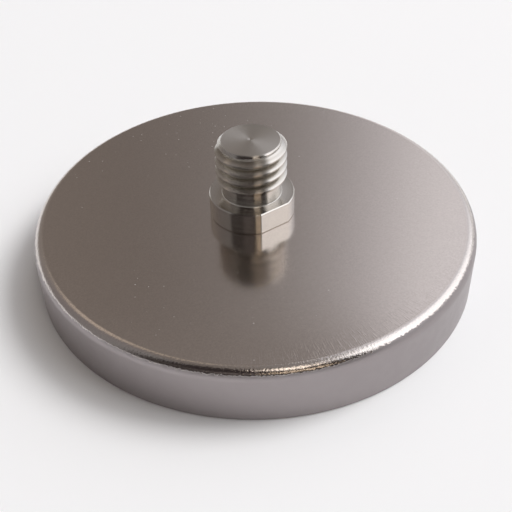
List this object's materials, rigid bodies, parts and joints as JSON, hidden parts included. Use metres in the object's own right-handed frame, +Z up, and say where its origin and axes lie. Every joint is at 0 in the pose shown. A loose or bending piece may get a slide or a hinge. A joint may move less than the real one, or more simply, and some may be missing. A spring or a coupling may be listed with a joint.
{
  "type": "pot magnet",
  "caption": "Flat round pot magnet: plated steel cup with a potted ring magnet, and a threaded mounting stud with a collar and wrench flats.",
  "frame": {"origin": "centre of the magnetic face, on which the object stands", "axes": "+Z up along the stud; one wrench flat of the collar faces 304 degrees from +X towards +Y, the other the opposite way"},
  "size_m": [0.1, 0.1, 0.0319],
  "materials": {
    "nickel_plate": "polished nickel plate",
    "stainless": "fine turned",
    "ferrite": "ground, unglazed",
    "resin": "cast epoxy",
    "zinc_plate": "bright zinc plate"
  },
  "bodies": {
    "root": {"steel_cup": "nickel_plate", "threaded_stud": "stainless", "ring_magnet": "ferrite", "potting_resin": "resin", "spring_washer": "zinc_plate", "hex_nut": "zinc_plate"}
  },
  "joints": []
}
